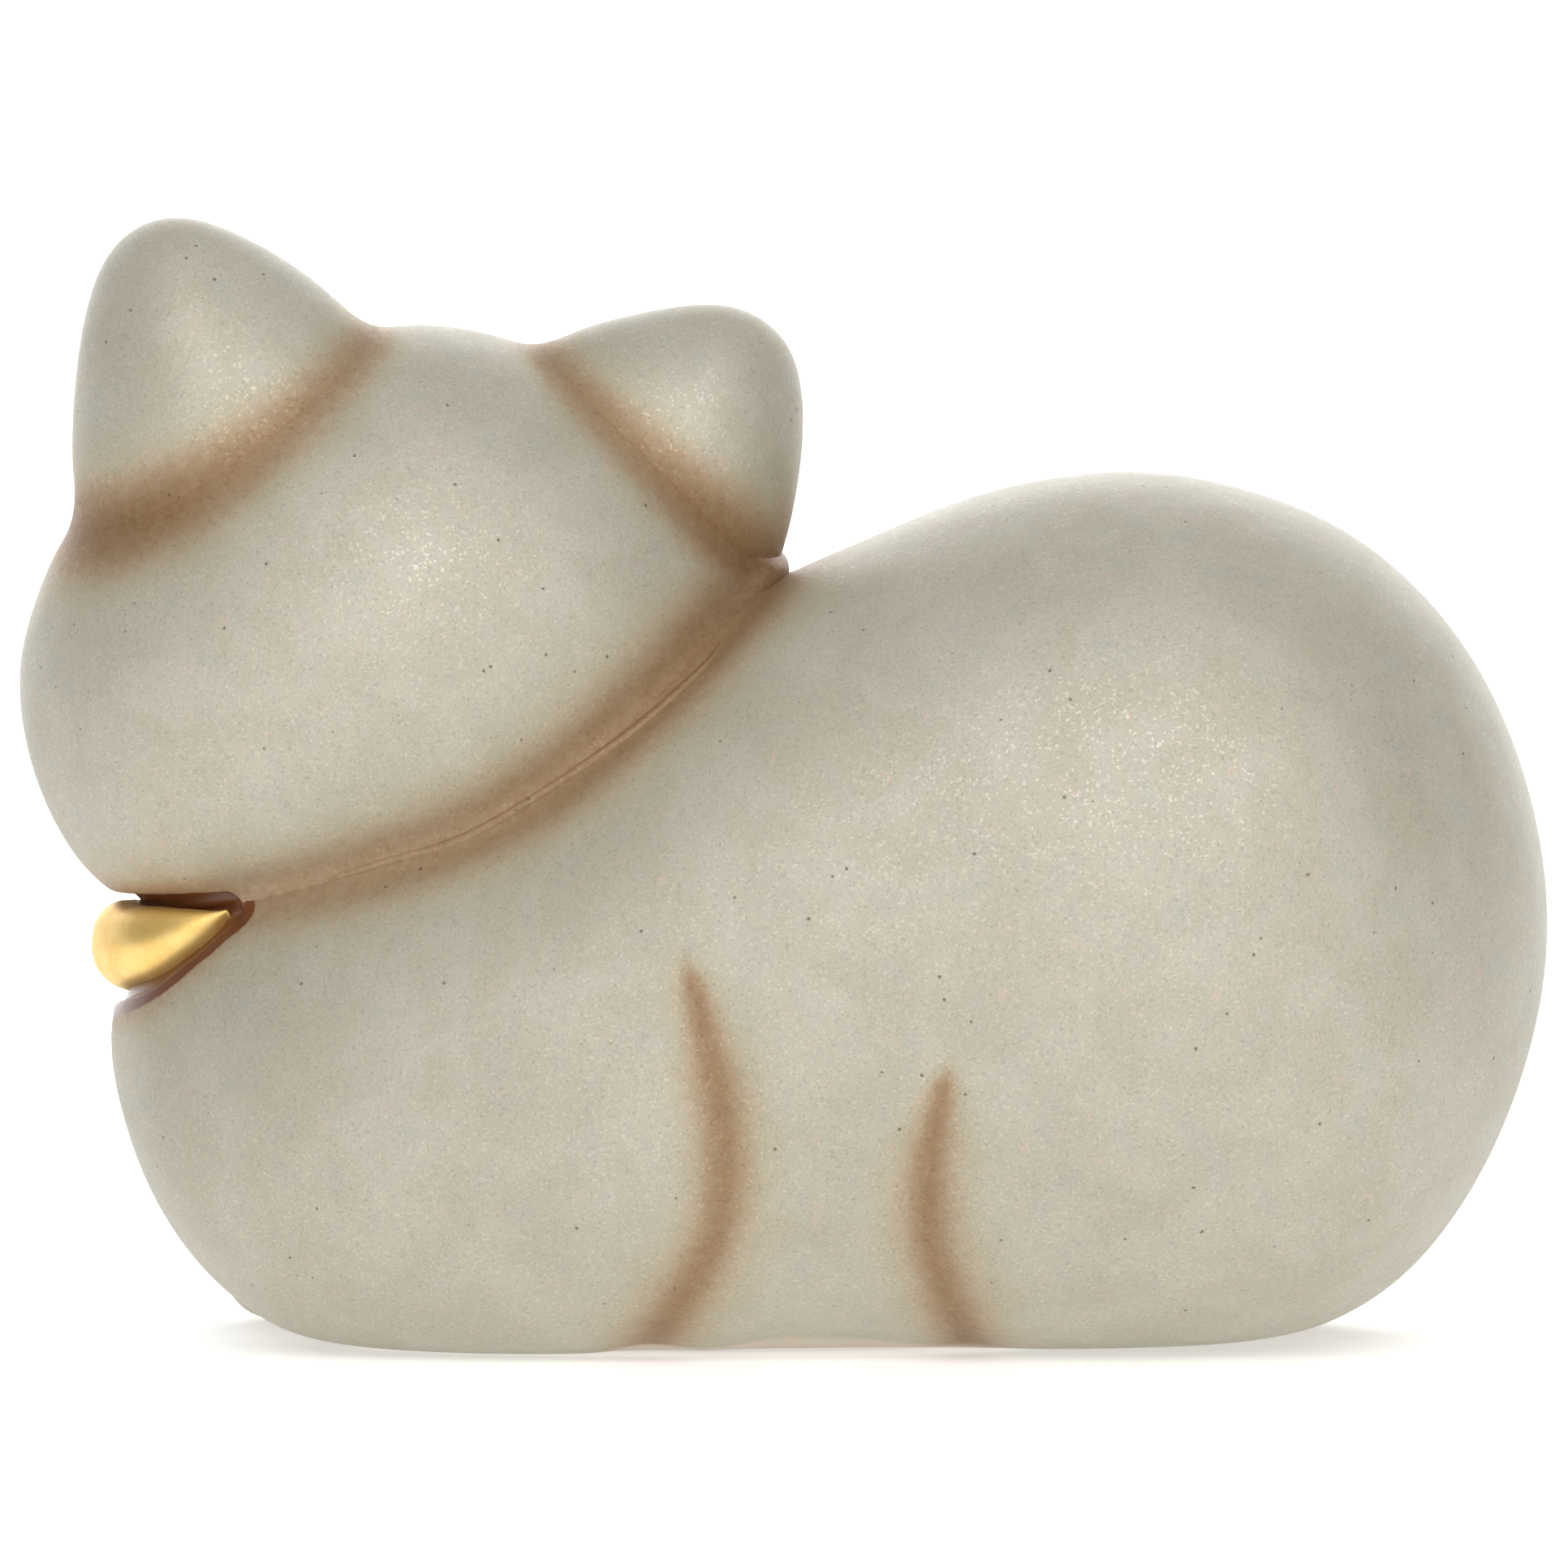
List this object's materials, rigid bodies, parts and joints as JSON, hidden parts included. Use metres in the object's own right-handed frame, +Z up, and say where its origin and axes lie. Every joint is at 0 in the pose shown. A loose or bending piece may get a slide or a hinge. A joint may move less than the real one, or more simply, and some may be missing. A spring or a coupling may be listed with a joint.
{
  "type": "ceramic cat figurine",
  "caption": "Resting cat figurine in pearl-glazed slip-cast earthenware with brown-shaded folds and a satin gold neckerchief; stands on a flat foot.",
  "frame": {"origin": "middle of the bounding box on the surface the figurine stands on", "axes": "+X from the head end to the rump, +Y the side the face looks at, +Z up"},
  "size_m": [0.1498, 0.0908, 0.111],
  "materials": {
    "pearl_glaze": "matte pearl glaze with brown airbrushed shading",
    "gold_lustre": "satin gold lustre over glazed ceramic",
    "brown_glaze": "glossy brown glaze line"
  },
  "bodies": {
    "root": {"body_shell": "pearl_glaze", "head_shell": "pearl_glaze", "left_ear": "pearl_glaze", "right_ear": "pearl_glaze", "neck_slip_bead": "pearl_glaze", "gold_neckerchief": "gold_lustre", "tail": "pearl_glaze", "left_front_paw": "pearl_glaze", "right_front_paw": "pearl_glaze", "hind_paw": "pearl_glaze", "nose": "brown_glaze", "left_eye_line": "brown_glaze", "right_eye_line": "brown_glaze", "mouth_line": "brown_glaze"}
  },
  "joints": []
}
